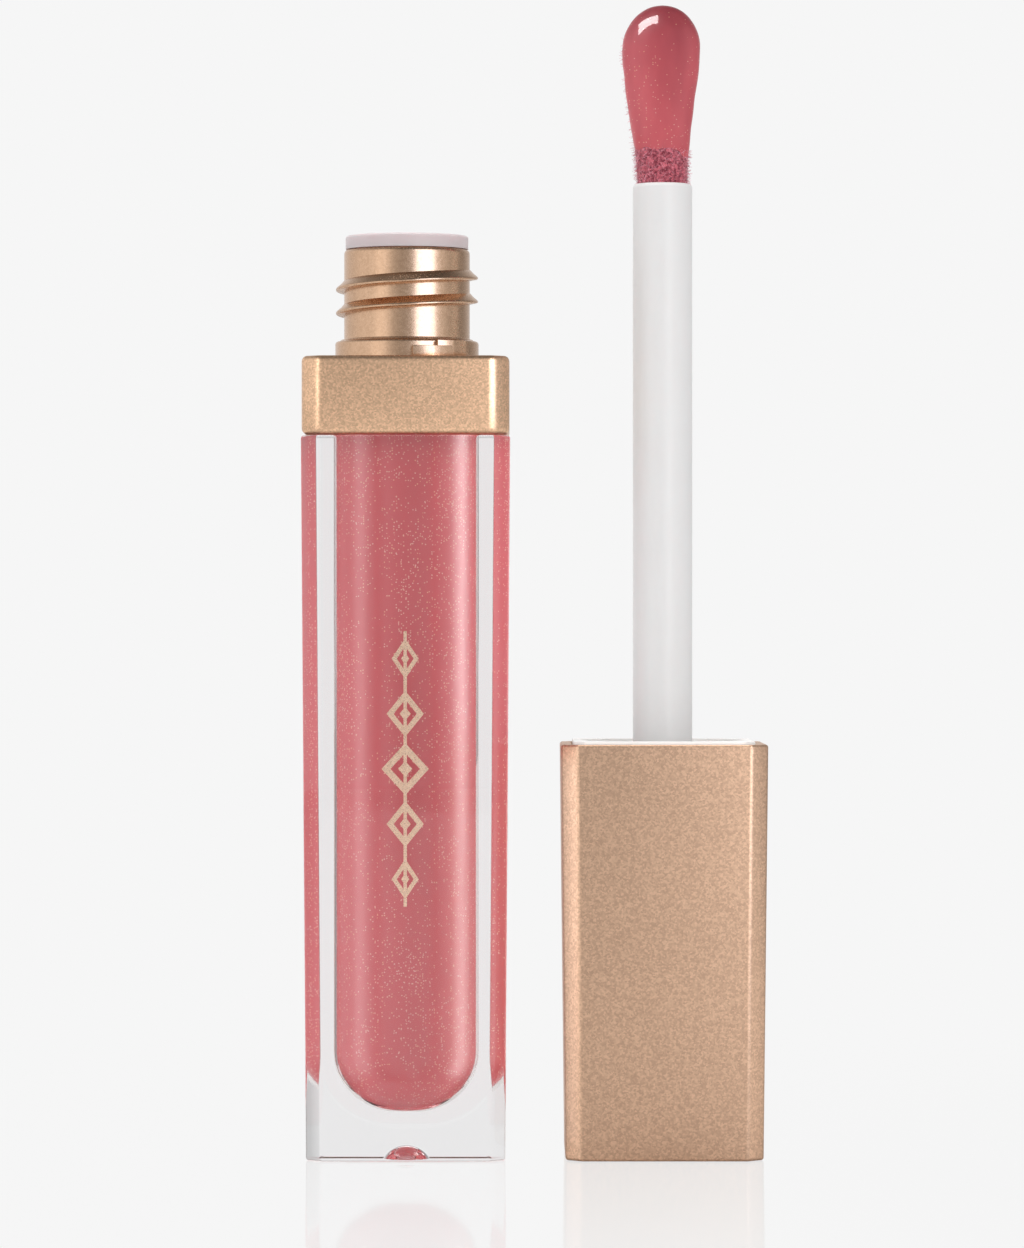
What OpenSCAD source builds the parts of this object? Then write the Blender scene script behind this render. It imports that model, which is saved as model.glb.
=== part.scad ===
// Square lip gloss bottle, open, with its cap and applicator wand standing upside down beside it.
// Origin: centre of the bottle's base. +Z is up, +X points to the cap and -Y is the front.

/* [Bottle] */
// Width of the clear block across its flats, at the top
block_top_w = 18.6; // [18:0.1:20]
// Width of the clear block across its flats, at the base
block_base_w = 17.7; // [17:0.1:19]
// Height of the clear block
block_h = 64.4; // [55:0.1:80]
// Length of the chamfer on each upright corner, along one flat
corner_leg = 1.45; // [0.8:0.05:2]
// Radius of the round cavity
cavity_r = 6.3; // [5.8:0.05:6.6]
// Thickness of the clear floor under the cavity
cavity_floor = 4.3; // [3:0.1:7]
// Radius of the big rounding at the bottom of the cavity
cavity_end_r = 5.4; // [3:0.1:5.7]
// Radius of the moulding gate's domed dimple under the base
dimple_r = 2.1; // [1:0.05:3]
// Depth of that dimple
dimple_depth = 1.3; // [0.4:0.1:1.6]

/* [Collar and neck] */
// Height of the square collar
collar_h = 7.0; // [6:0.1:9]
// Width of the square collar across its flats
collar_w = 18.45; // [18:0.05:20]
// Radius of the neck between its threads
neck_r = 5.65; // [5.5:0.05:5.8]
// Height of the neck above the collar
neck_h = 9.9; // [9:0.1:11]
// Radius of the bore through the neck
neck_bore_r = 4.3; // [4:0.05:4.6]
// Radius over the thread's crest
thread_crest_r = 6.4; // [6.3:0.05:6.5]
// Distance between two turns of the thread
thread_pitch = 2.117; // [1.9:0.001:2.4]
// Radius of the bead at the foot of the neck
bead_r = 6.45; // [6.4:0.05:6.6]
// Height of that bead
bead_h = 1.6; // [1.2:0.1:2]

/* [Cap] */
// Height of the cap
cap_h = 36.9; // [30:0.1:45]
// Width of the cap across its flats, at the open rim
cap_rim_w = 18.4; // [18:0.05:20]
// Width of the cap across its flats, at the closed end
cap_end_w = 17.6; // [17.5:0.05:18.5]
// Thickness of the cap's outer wall
shell_wall = 1.05; // [0.8:0.05:1.2]
// Distance from the bottle's axis to the axis of the cap beside it
cap_x = 23.0; // [21:0.5:60]

/* [Wand] */
// Radius of the stem
stem_r = 2.675; // [2.5:0.025:2.7]
// Length of stem that stands out of the cap
stem_out = 50.3; // [40:0.1:55]
// Length of the soft tip, from the end of the stem
tip_l = 16.1; // [12:0.1:18]
// Half the width of the tip where it is widest
tip_r = 3.6; // [3:0.1:3.8]
// Half the width of the tip at its narrow end
tip_foot_r = 2.35; // [2:0.05:2.5]
// Thickness of the tip as a share of its width
tip_flatness = 0.6; // [0.5:0.05:1]

/* [Hidden] */
$fn = 96;
overlap = 0.2;

// Heights on the bottle
spigot_r = 7.7;
spigot_h = 4.5;
spigot_gap = 0.05;
collar_top = block_h + collar_h;
neck_top = collar_top + neck_h;
fill_top = block_h + 4.1;
bead_step_h = 0.3;
bead_step_r = (neck_r + bead_r) / 2;

// Thread, seen from above: its crest passes +X at this height
thread_at_x = collar_top + 5.2;
thread_over = 0.72;
thread_under = 0.36;
thread_crest_w = 0.2;
thread_sink = 0.4;
thread_step = 10;

// Wiper
wiper_flange_r = 5.525;
wiper_flange_h = 1.2;
wiper_sleeve_r = neck_bore_r - 0.03;
wiper_bore_r = 3.55;
wiper_throat_r = 2.72;
wiper_throat_z = collar_top + 0.4;
wiper_throat_l = 1.0;

// Cap, measured from its rim: minus is into the cap, plus is out along the wand
rim_lift = 0.27;
flange_w = cap_rim_w - 2 * shell_wall - 0.15;
flange_t = 1.9;
well_r = 6.65;
well_wall = 1.25;
rim_bore_r = 7.35;
rim_bore_h = 2.0;
liner_z = 10.7;
liner_t = 1.0;
well_depth = liner_z + liner_t;
ceiling_t = 1.2;
socket_r = 4.3;
socket_end = 21;
stem_end = 20;
stem_gap = 0.03;
shell_floor = 1.6;
rib_t = 1.0;
closed_rim_z = collar_top + 0.3;

// Wand, as heights in the stored pose
stem_top = cap_h + stem_out;
tip_top = stem_top + tip_l;
anchor_r = 1.45;
anchor_l = 6;
flock_t = 0.5;
coat_t = 0.18;
coat_from = stem_top + 3.6;

// Points of an arc, from angle a0 to angle a1 in n steps
function arc(c, r, a0, a1, n) =
  [for (i = [0:n]) c + r * [cos(a0 + (a1 - a0) * i / n), sin(a0 + (a1 - a0) * i / n)]];

// Right half of a bar's side view: w0 wide at the foot, w1 at the top, edges cut by foot_cut and top_cut
function bar_side(w0, w1, h, foot_cut, top_cut) = concat(
  foot_cut > 0 ? [[w0 / 2 - foot_cut, 0], [w0 / 2, foot_cut]] : [[w0 / 2, 0]],
  top_cut > 0 ? [[w1 / 2, h - top_cut], [w1 / 2 - top_cut, h]] : [[w1 / 2, h]]
);

function mirrored(points) = [for (i = [len(points) - 1:-1:0]) [-points[i].x, points[i].y]];

// One pair of opposite sides of a bar, turned about the bar's axis
module bar_pair(w0, w1, h, foot_cut, top_cut, turn) {
  side = bar_side(w0, w1, h, foot_cut, top_cut);
  rotate([0, 0, turn])
    rotate([90, 0, 0])
      linear_extrude(height = 3 * w1, center = true)
        polygon(concat(side, mirrored(side)));
}

// Upright square bar with chamfered corners, drafted from w0 wide at the foot to w1 at the top
module bar(w0, w1, h, leg, foot_cut = 0, top_cut = 0) {
  d0 = sqrt(2) * (w0 - leg);
  d1 = sqrt(2) * (w1 - leg);
  intersection() {
    bar_pair(w0, w1, h, foot_cut, top_cut, 0);
    bar_pair(w0, w1, h, foot_cut, top_cut, 90);
    bar_pair(d0, d1, h, foot_cut, top_cut, 45);
    bar_pair(d0, d1, h, foot_cut, top_cut, 135);
  }
}

// Ring of rectangular section
module ring(r_out, r_in, z, h) {
  translate([0, 0, z])
    difference() {
      cylinder(r = r_out, h = h);
      translate([0, 0, -overlap]) cylinder(r = r_in, h = h + 2 * overlap);
    }
}

// Right-hand ridge between two angles, with a long flank over its crest and a short one under it.
// Its crest is at height z where it passes +X, and it fades at both ends.
module thread(wall_r, crest_r, z, from, to, over, under) {
  sections = round((to - from) / thread_step);
  fade = 30;
  sink_r = wall_r + (crest_r > wall_r ? -thread_sink : thread_sink);
  shy_r = (sink_r + wall_r) / 2;
  points = [
    for (i = [0:sections])
      let (
        a = from + i * thread_step,
        share = min(1, (a - from) / fade, (to - a) / fade),
        r = shy_r + (crest_r - shy_r) * share,
        at = z + thread_pitch * a / 360
      )
      for (p = [
        [sink_r, -under - thread_crest_w / 2], [r, -thread_crest_w / 2],
        [r, thread_crest_w / 2], [sink_r, over + thread_crest_w / 2]
      ])
        [p.x * cos(a), p.x * sin(a), at + p.y]
  ];
  start = crest_r > wall_r ? [3, 2, 1, 0] : [0, 1, 2, 3];
  sides = [
    for (i = [0:sections - 1])
      for (j = [0:3])
        let (a = 4 * i + start[j], b = 4 * i + start[(j + 1) % 4])
        for (face = [[a, a + 4, b], [b, a + 4, b + 4]])
          face
  ];
  polyhedron(points, concat([start], sides, [[for (j = [3:-1:0]) 4 * sections + start[j]]]));
}

// Block outlined by two radii and two angles about the axis
module sector(r_in, r_out, a0, a1, z, h) {
  translate([0, 0, z])
    linear_extrude(h)
      polygon(concat(arc([0, 0], r_out, a0, a1, 6), arc([0, 0], r_in, a1, a0, 6)));
}

// Round pocket of the bottle, from its rounded end up to a height
module cavity(r, top) {
  end_r = min(cavity_end_r, r - 0.2);
  rotate_extrude()
    polygon(concat(
      [[0, cavity_floor]],
      arc([r - end_r, cavity_floor + end_r], end_r, -90, 0, 12),
      [[r, top], [0, top]]
    ));
}

// Clear heavy-walled block with a round spigot that the collar fits over
module bottle_block() {
  dome_r = (dimple_r ^ 2 + dimple_depth ^ 2) / (2 * dimple_depth);
  color([0.94, 0.95, 0.96, 0.35])
    difference() {
      union() {
        bar(block_base_w, block_top_w, block_h, corner_leg, 0.35, 0.12);
        translate([0, 0, block_h - overlap]) cylinder(r = spigot_r, h = spigot_h + overlap);
      }
      cavity(cavity_r, block_h + spigot_h + overlap);
      translate([0, 0, dimple_depth - dome_r]) sphere(r = dome_r);
    }
}

// Square collar and threaded neck in one moulding
module neck_collar() {
  neck_round = 0.45;
  color([0.80, 0.62, 0.46])
    difference() {
      union() {
        translate([0, 0, block_h]) bar(collar_w, collar_w, collar_h, corner_leg, 0.1, 0.35);
        rotate_extrude()
          polygon(concat(
            [[0, collar_top - overlap], [bead_r, collar_top - overlap]],
            arc([bead_r - 0.3, collar_top + bead_h - 0.3], 0.3, 0, 90, 4),
            [
              [bead_step_r, collar_top + bead_h],
              [bead_step_r, collar_top + bead_h + bead_step_h],
              [neck_r, collar_top + bead_h + bead_step_h]
            ],
            arc([neck_r - neck_round, neck_top - neck_round], neck_round, 0, 90, 6),
            [[0, neck_top]]
          ));
        thread(neck_r, thread_crest_r, thread_at_x, -250, 430, thread_over, thread_under);
        stop_lug();
      }
      translate([0, 0, block_h - overlap])
        cylinder(r = spigot_r + spigot_gap, h = spigot_h + spigot_gap + overlap);
      cylinder(r = neck_bore_r, h = neck_top + overlap);
    }
}

// Stepped lug on the front of the bead. It stops the cap where its flats line up with the bottle's.
module stop_lug() {
  lug_in = bead_r - 0.5;
  sector(lug_in, bead_r + 0.7, -85, -54, collar_top - overlap, 1.0 + overlap);
  sector(lug_in, bead_r + 0.6, -66, -40, collar_top - overlap, 1.5 + overlap);
}

// Soft insert that strips the stem. A flange sits on the neck and a cone narrows to the throat.
module wiper() {
  flange_top = neck_top + wiper_flange_h;
  color([0.86, 0.76, 0.86, 0.8])
    rotate_extrude()
      polygon([
        [wiper_throat_r, wiper_throat_z],
        [wiper_throat_r + 0.7, wiper_throat_z],
        [wiper_sleeve_r, wiper_throat_z + 2.2],
        [wiper_sleeve_r, neck_top],
        [wiper_flange_r, neck_top],
        [wiper_flange_r, flange_top - 0.3],
        [wiper_flange_r - 0.3, flange_top],
        [wiper_bore_r + 0.7, flange_top],
        [wiper_bore_r, flange_top - 0.9],
        [wiper_bore_r, wiper_throat_z + 2.9],
        [wiper_throat_r, wiper_throat_z + wiper_throat_l]
      ]);
}

// Gloss that fills the cavity
module gloss_fill() {
  color([0.93, 0.45, 0.60])
    translate([0, 0, 0.02])
      cavity(cavity_r - 0.02, fill_top);
}

// Thin foil stamping on the front face: a column of lozenges on a hairline
module foil_ornament() {
  lean = atan((block_top_w - block_base_w) / 2 / block_h);
  middle = 0.54 * block_h;
  foil_l = 24.4;
  foil_t = 0.05;
  color([0.80, 0.60, 0.48])
    translate([0, -block_base_w / 2, 0])
      rotate([90 + lean, 0, 0])
        translate([0, middle, 0])
          linear_extrude(foil_t) {
            square([0.3, foil_l], center = true);
            for (i = [-2:2])
              translate([0, i * foil_l / 5])
                lozenge(2.1 - 0.45 * abs(i), 2.3 - 0.25 * abs(i));
          }
}

module lozenge(half_w, half_h) {
  difference() {
    polygon([[half_w, 0], [0, half_h], [-half_w, 0], [0, -half_h]]);
    scale(0.62) polygon([[half_w, 0], [0, half_h], [-half_w, 0], [0, -half_h]]);
  }
  scale(0.3) polygon([[half_w, 0], [0, half_h], [-half_w, 0], [0, -half_h]]);
}

// Moves a cap part from the rim's own frame to its place beside the bottle
module at_rim() {
  translate([cap_x, 0, cap_h]) children();
}

// Square outer cap, closed end down, with a cross of ribs that backs up the inner cap
module cap_shell() {
  inner_end_w = cap_end_w - 2 * shell_wall;
  inner_rim_w = cap_rim_w - 2 * shell_wall;
  rib_h = cap_h - socket_end - shell_floor - 0.1;
  color([0.78, 0.64, 0.50])
    translate([cap_x, 0, 0]) {
      difference() {
        bar(cap_end_w, cap_rim_w, cap_h, corner_leg, 0.4, 0.12);
        translate([0, 0, shell_floor])
          bar(inner_end_w, inner_rim_w, cap_h - shell_floor + overlap, corner_leg - 0.4);
      }
      for (turn = [0, 90])
        rotate([0, 0, turn])
          translate([-socket_r, -rib_t / 2, shell_floor - overlap])
            cube([2 * socket_r, rib_t, rib_h + overlap]);
    }
}

// White threaded insert: square flange at the rim, round well for the neck, and a socket for the stem
module inner_cap() {
  well_out_r = well_r + well_wall;
  color([0.95, 0.94, 0.93])
    at_rim() {
      difference() {
        union() {
          translate([0, 0, rim_lift - flange_t])
            bar(flange_w, flange_w, flange_t, corner_leg - 0.4, 0, 0.15);
          translate([0, 0, -well_depth - ceiling_t])
            cylinder(r = well_out_r, h = well_depth + ceiling_t);
          translate([0, 0, -socket_end])
            cylinder(r = socket_r, h = socket_end - well_depth);
          for (turn = [45, 135])
            rotate([0, 0, turn])
              translate([-well_out_r - 1.6, -rib_t / 2, -well_depth])
                cube([2 * well_out_r + 3.2, rib_t, well_depth]);
        }
        translate([0, 0, -well_depth]) cylinder(r = well_r, h = well_depth + rim_lift + overlap);
        translate([0, 0, -rim_bore_h]) cylinder(r = rim_bore_r, h = rim_bore_h + rim_lift + overlap);
        translate([0, 0, -stem_end - 0.1]) cylinder(r = stem_r + stem_gap, h = stem_end);
      }
      // half a pitch away from the neck's ridge when the cap is closed
      thread(well_r, neck_r + 0.3, closed_rim_z - thread_at_x, -480, 180, thread_under, thread_under);
    }
}

// Soft ring in the roof of the inner cap that seals on the wiper's flange
module liner_ring() {
  color([0.90, 0.90, 0.88])
    at_rim()
      ring(well_r - 0.1, stem_r + 0.2, -well_depth, liner_t);
}

// Rod with a snap groove in the cap's socket and a hole for the tip at the other end
module wand_stem() {
  foot = cap_h - stem_end;
  groove = 0.25;
  edge = 0.45;
  color([0.96, 0.95, 0.95])
    translate([cap_x, 0, 0])
      difference() {
        rotate_extrude()
          polygon(concat(
            [[0, foot], [stem_r - 0.4, foot], [stem_r, foot + 0.4]],
            [
              [stem_r, foot + 2.5], [stem_r - groove, foot + 2.5 + groove],
              [stem_r - groove, foot + 3.2], [stem_r, foot + 3.2 + groove]
            ],
            arc([stem_r - edge, stem_top - edge], edge, 0, 90, 6),
            [[0, stem_top]]
          ));
        translate([0, 0, stem_top - anchor_l - 0.1]) cylinder(r = anchor_r + 0.02, h = anchor_l + 1);
      }
}

// Barbed root of the tip, held in the end of the stem
module tip_anchor() {
  barb = 0.3;
  color([0.93, 0.80, 0.84])
    translate([cap_x, 0, stem_top - anchor_l])
      rotate_extrude()
        polygon(concat(
          [[0, 0], [anchor_r - barb, 0]],
          [for (i = [0:2]) for (p = [[anchor_r - barb, 1.6 * i + 0.5], [anchor_r, 1.6 * i + 1.4]]) p],
          [[anchor_r, anchor_l], [0, anchor_l]]
        ));
}

// Flattened egg that the layers of the tip share, taken in by a depth
module tip_shape(inset) {
  foot_z = stem_top + 0.35 + tip_foot_r;
  head_z = tip_top - tip_r;
  translate([cap_x, 0, 0])
    scale([1, tip_flatness, 1])
      hull() {
        translate([0, 0, foot_z]) sphere(r = tip_foot_r - inset, $fn = 28);
        translate([0, 0, head_z]) sphere(r = tip_r - inset, $fn = 32);
      }
}

// Flexible core of the tip
module tip_core() {
  color([0.93, 0.80, 0.84])
    tip_shape(coat_t + flock_t);
}

// Flocked skin on the core
module tip_flock() {
  color([0.95, 0.72, 0.80])
    difference() {
      tip_shape(coat_t);
      tip_shape(coat_t + flock_t);
    }
}

// Gloss picked up by the far part of the tip
module gloss_coat() {
  color([0.91, 0.38, 0.55])
    intersection() {
      difference() {
        tip_shape(0);
        tip_shape(coat_t);
      }
      translate([cap_x - 2 * tip_r, -2 * tip_r, coat_from])
        cube([4 * tip_r, 4 * tip_r, tip_top - coat_from + overlap]);
    }
}

bottle_block();
neck_collar();
wiper();
gloss_fill();
foil_ornament();
cap_shell();
inner_cap();
liner_ring();
wand_stem();
tip_anchor();
tip_core();
tip_flock();
gloss_coat();
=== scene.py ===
import bmesh
import bpy
from math import atan2, cos, degrees, pi, radians, sin, sqrt
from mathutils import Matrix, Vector, noise


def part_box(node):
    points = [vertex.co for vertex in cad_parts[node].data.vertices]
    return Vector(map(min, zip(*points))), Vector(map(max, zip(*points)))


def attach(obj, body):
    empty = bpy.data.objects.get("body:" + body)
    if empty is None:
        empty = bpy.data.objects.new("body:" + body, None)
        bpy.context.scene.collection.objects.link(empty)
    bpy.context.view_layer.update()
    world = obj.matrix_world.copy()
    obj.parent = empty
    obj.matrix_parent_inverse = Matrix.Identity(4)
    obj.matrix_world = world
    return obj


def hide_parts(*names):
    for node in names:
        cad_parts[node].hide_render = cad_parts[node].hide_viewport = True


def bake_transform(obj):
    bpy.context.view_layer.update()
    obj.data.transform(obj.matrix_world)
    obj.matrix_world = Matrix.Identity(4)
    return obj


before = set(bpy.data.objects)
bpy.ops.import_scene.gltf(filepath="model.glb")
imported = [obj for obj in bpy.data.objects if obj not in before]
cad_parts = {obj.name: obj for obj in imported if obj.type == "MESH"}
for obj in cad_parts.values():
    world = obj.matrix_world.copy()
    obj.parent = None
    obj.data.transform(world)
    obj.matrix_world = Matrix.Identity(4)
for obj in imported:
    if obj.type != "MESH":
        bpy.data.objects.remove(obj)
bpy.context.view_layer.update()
mm = 0.001
weld = 0.002 * mm       # points closer than this are one
hair = 0.02 * mm        # smallest gap, and the ring that starts a solid outline on the axis


def startPiece():
    if bpy.context.object and bpy.context.object.mode != 'OBJECT':
        leaveEdit()
    bpy.ops.object.select_all(action='DESELECT')


def only(obj):
    startPiece()
    obj.select_set(True)
    bpy.context.view_layer.objects.active = obj
    return obj


def edit(obj):
    only(obj)
    bpy.ops.object.mode_set(mode='EDIT')


def selectAll():
    bpy.ops.mesh.select_all(action='SELECT')


def leaveEdit():
    bpy.ops.object.mode_set(mode='OBJECT')


def place():
    bpy.ops.object.transform_apply(location=True, rotation=True, scale=True)


def pick(kind, test):
    # selects the points, edges or faces that pass the test
    bpy.ops.mesh.select_mode(type=kind)
    bpy.ops.mesh.select_all(action='DESELECT')
    mesh = bpy.context.object.data
    shape = bmesh.from_edit_mesh(mesh)
    parts = {'VERT': shape.verts, 'EDGE': shape.edges, 'FACE': shape.faces}[kind]
    for part in parts:
        part.select_set(bool(test(part)))
    shape.select_flush_mode()
    bmesh.update_edit_mesh(mesh)


def applyModifier(obj, kind, **values):
    only(obj)
    modifier = obj.modifiers.new(kind.lower(), kind)
    for name, value in values.items():
        setattr(modifier, name, value)
    bpy.ops.object.modifier_apply(modifier=modifier.name)


def softenEdges(obj, width, segments=3, above=30):
    applyModifier(obj, 'BEVEL', width=width, segments=segments, limit_method='ANGLE',
                  angle_limit=radians(above))


def carve(obj, tool, how='DIFFERENCE'):
    # cuts or adds the tool, which is used up
    applyModifier(obj, 'BOOLEAN', object=tool, operation=how, solver='EXACT')
    bpy.data.objects.remove(tool, do_unlink=True)


def smooth(obj, angle=32):
    only(obj)
    bpy.ops.object.shade_smooth_by_angle(angle=radians(angle))


def outward(obj):
    edit(obj)
    selectAll()
    bpy.ops.mesh.remove_doubles(threshold=weld)
    bpy.ops.mesh.normals_make_consistent(inside=False)
    leaveEdit()


def joinPieces(first, *others):
    only(first)
    for other in others:
        other.select_set(True)
    bpy.ops.object.join()
    return first


def arcPoints(centre, radius, fromDegrees, toDegrees, steps):
    angles = [radians(fromDegrees + (toDegrees - fromDegrees) * i / steps) for i in range(steps + 1)]
    return [(centre[0] + radius * cos(a), centre[1] + radius * sin(a)) for a in angles]


def turned(name, axisX, outline, sides=96):
    # a ring is extruded and resized from point to point of the outline; a closed outline makes a tube
    closed = outline[0] == outline[-1]
    startPiece()
    radius, height = outline[0]
    bpy.ops.mesh.primitive_circle_add(vertices=sides, radius=radius, location=(axisX, 0, height),
                                      fill_type='NOTHING' if closed else 'NGON')
    piece = bpy.context.object
    piece.name = name
    place()
    bpy.ops.object.mode_set(mode='EDIT')
    selectAll()
    for nextRadius, nextHeight in outline[1:]:
        bpy.ops.mesh.extrude_region_move(TRANSFORM_OT_translate={"value": (0, 0, nextHeight - height)})
        factor = nextRadius / radius
        bpy.ops.transform.resize(value=(factor, factor, 1), center_override=(axisX, 0, nextHeight))
        radius, height = nextRadius, nextHeight
    leaveEdit()
    outward(piece)
    return piece


def squareBar(name, axisX, foot, top, footWidth, topWidth, leg):
    # cube with its upright edges cut off, widened towards the top
    startPiece()
    bpy.ops.mesh.primitive_cube_add(size=1, location=(axisX, 0, (foot + top) / 2),
                                    scale=(footWidth, footWidth, top - foot))
    bar = bpy.context.object
    bar.name = name
    place()
    edit(bar)
    pick('EDGE', lambda edge: abs(edge.verts[0].co.z - edge.verts[1].co.z) > 0.1 * mm)
    bpy.ops.mesh.bevel(offset=leg, offset_type='OFFSET', segments=1, affect='EDGES')
    pick('VERT', lambda point: point.co.z > top - 0.01 * mm)
    widen = topWidth / footWidth
    bpy.ops.transform.resize(value=(widen, widen, 1), center_override=(axisX, 0, top))
    leaveEdit()
    return bar


def ridge(name, axisX, size):
    # wedge wound up the axis by the screw modifier, sinking into the wall at both ends
    startPiece()
    bpy.ops.mesh.primitive_circle_add(vertices=len(size["wedge"]), radius=mm, location=(axisX, 0, 0),
                                      fill_type='NGON')
    wound = bpy.context.object
    wound.name = name
    for point, (radius, height) in zip(wound.data.vertices, size["wedge"]):
        point.co = (radius, 0, height)
    turns = (size["toAngle"] - size["fromAngle"]) / 360
    wound.rotation_euler.z = radians(size["fromAngle"])
    bpy.ops.object.transform_apply(location=False, rotation=True, scale=False)
    applyModifier(wound, 'SCREW', axis='Z', angle=radians(180) * turns,
                  screw_offset=size["pitch"] * turns / 2, iterations=2, steps=size["steps"],
                  render_steps=size["steps"], use_merge_vertices=True, merge_threshold=weld)
    rise = size["crestAtX"] + size["pitch"] * size["fromAngle"] / 360
    heights = [height for radius, height in size["wedge"]]
    middle = (min(heights) + max(heights)) / 2
    for point in wound.data.vertices:
        compass = degrees(atan2(point.co.y, point.co.x))
        turn = round(((point.co.z - middle) / size["pitch"] * 360 + size["fromAngle"] - compass) / 360)
        angle = compass + 360 * turn
        share = min(1, max(0, angle - size["fromAngle"]) / size["fade"],
                    max(0, size["toAngle"] - angle) / size["fade"])
        reach = sqrt(point.co.x ** 2 + point.co.y ** 2)
        wanted = size["sunk"] + (reach - size["sunk"]) * share
        point.co.x *= wanted / reach
        point.co.y *= wanted / reach
        point.co.z += rise
    only(wound)
    place()
    edit(wound)
    selectAll()
    bpy.ops.mesh.remove_doubles(threshold=weld)
    selectAll()
    bpy.ops.mesh.fill_holes(sides=12)
    selectAll()
    bpy.ops.mesh.normals_make_consistent(inside=False)
    leaveEdit()
    return wound


def arcBlock(name, inner, outer, low, high, fromAngle, toAngle):
    # upright rectangle spun about the bottle's axis in two flat steps
    startPiece()
    bpy.ops.mesh.primitive_plane_add(size=1, location=((inner + outer) / 2, 0, (low + high) / 2),
                                     rotation=(pi / 2, 0, 0))
    block = bpy.context.object
    block.name = name
    block.scale = (outer - inner, high - low, 1)
    place()
    block.rotation_euler.z = radians(fromAngle)
    place()
    edit(block)
    selectAll()
    bpy.ops.mesh.spin(steps=2, angle=radians(fromAngle - toAngle), center=(0, 0, 0), axis=(0, 0, 1))
    selectAll()
    bpy.ops.mesh.fill_holes(sides=4)
    leaveEdit()
    outward(block)
    return block


def newMaterial(name):
    material = bpy.data.materials.new(name)
    material.use_nodes = True
    return material, material.node_tree, material.node_tree.nodes["Principled BSDF"]


def finishWith(piece, material):
    piece.data.materials.clear()
    piece.data.materials.append(material)


def drive(tree, socket, value):
    # the socket takes another node's output, or else a plain value
    if isinstance(value, bpy.types.NodeSocket):
        tree.links.new(value, socket)
    else:
        socket.default_value = value


def feed(tree, made, **values):
    for name, value in values.items():
        drive(tree, made.inputs[name.replace("_", " ")], value)
    return made


def newNode(tree, kind, **values):
    return feed(tree, tree.nodes.new(kind), **values)


def objectCoords(tree):
    return tree.nodes.new('ShaderNodeTexCoord').outputs["Object"]


def calculate(tree, operation, *values, clamp=False):
    made = tree.nodes.new('ShaderNodeMath')
    made.operation = operation
    made.use_clamp = clamp
    for socket, value in zip(made.inputs, values):
        drive(tree, socket, value)
    return made.outputs[0]


def mixColours(tree, factor, first, second):
    made = tree.nodes.new('ShaderNodeMix')
    made.data_type = 'RGBA'
    for index, value in ((0, factor), (6, first), (7, second)):
        drive(tree, made.inputs[index], value)
    return made.outputs[2]


def mixShaders(tree, factor, first, second):
    made = tree.nodes.new('ShaderNodeMixShader')
    for socket, source in zip(made.inputs, (factor, first.outputs[0], second.outputs[0])):
        tree.links.new(source, socket)
    return made


def showMix(tree, factor, first, second, output="Material Output"):
    mix = mixShaders(tree, factor, first, second)
    tree.links.new(mix.outputs[0], tree.nodes[output].inputs["Surface"])


def newGroup(name, inputs, outputs):
    group = bpy.data.node_groups.new(name, 'ShaderNodeTree')
    for label, kind, value in inputs:
        socket = group.interface.new_socket(label, in_out='INPUT', socket_type=kind)
        if value is not None:
            socket.default_value = value
    for label, kind in outputs:
        group.interface.new_socket(label, in_out='OUTPUT', socket_type=kind)
    return group, group.nodes.new('NodeGroupInput').outputs, group.nodes.new('NodeGroupOutput')


def makeGrainGroup():
    # sandy grain of a matte metallised surface: colour grains, a height and a roughness that vary
    group, given, made = newGroup("sandyGrain", [
        ("Vector", 'NodeSocketVector', None),
        ("Scale", 'NodeSocketFloat', 6000.0),
        ("Dark", 'NodeSocketColor', (0.5, 0.35, 0.25, 1)),
        ("Light", 'NodeSocketColor', (0.8, 0.6, 0.45, 1)),
        ("Rough Low", 'NodeSocketFloat', 0.35),
        ("Rough High", 'NodeSocketFloat', 0.5),
    ], [("Color", 'NodeSocketColor'), ("Height", 'NodeSocketFloat'), ("Roughness", 'NodeSocketFloat')])
    fineShare, cellShare, broadShare, contrast, pits = 0.1, 0.75, 0.16, 1.3, 0.15
    fine = newNode(group, 'ShaderNodeTexNoise', Vector=given["Vector"], Scale=given["Scale"],
                   Detail=3.0, Roughness=0.7).outputs["Fac"]
    grains = newNode(group, 'ShaderNodeTexVoronoi', Vector=given["Vector"], Scale=given["Scale"])
    broad = newNode(group, 'ShaderNodeTexNoise', Vector=given["Vector"], Scale=140.0, Detail=2.0)
    tone = newNode(group, 'ShaderNodeMapRange', Value=fine, From_Min=0.36, From_Max=0.64)
    cell = newNode(group, 'ShaderNodeSeparateColor', Color=grains.outputs["Color"])
    drift = calculate(group, 'MULTIPLY_ADD', broad.outputs["Fac"], broadShare, 0.0)
    speck = calculate(group, 'MULTIPLY_ADD', cell.outputs["Red"], cellShare, drift)
    shade = calculate(group, 'MULTIPLY_ADD', tone.outputs["Result"], fineShare, speck, clamp=True)
    sparse = calculate(group, 'POWER', shade, contrast)
    gloss = newNode(group, 'ShaderNodeMapRange', Value=fine, From_Min=0.3, From_Max=0.7,
                    To_Min=given["Rough Low"], To_Max=given["Rough High"])
    feed(group, made, Color=mixColours(group, sparse, given["Dark"], given["Light"]),
         Height=calculate(group, 'MULTIPLY_ADD', grains.outputs["Distance"], pits, fine),
         Roughness=gloss.outputs["Result"])
    return group


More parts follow.
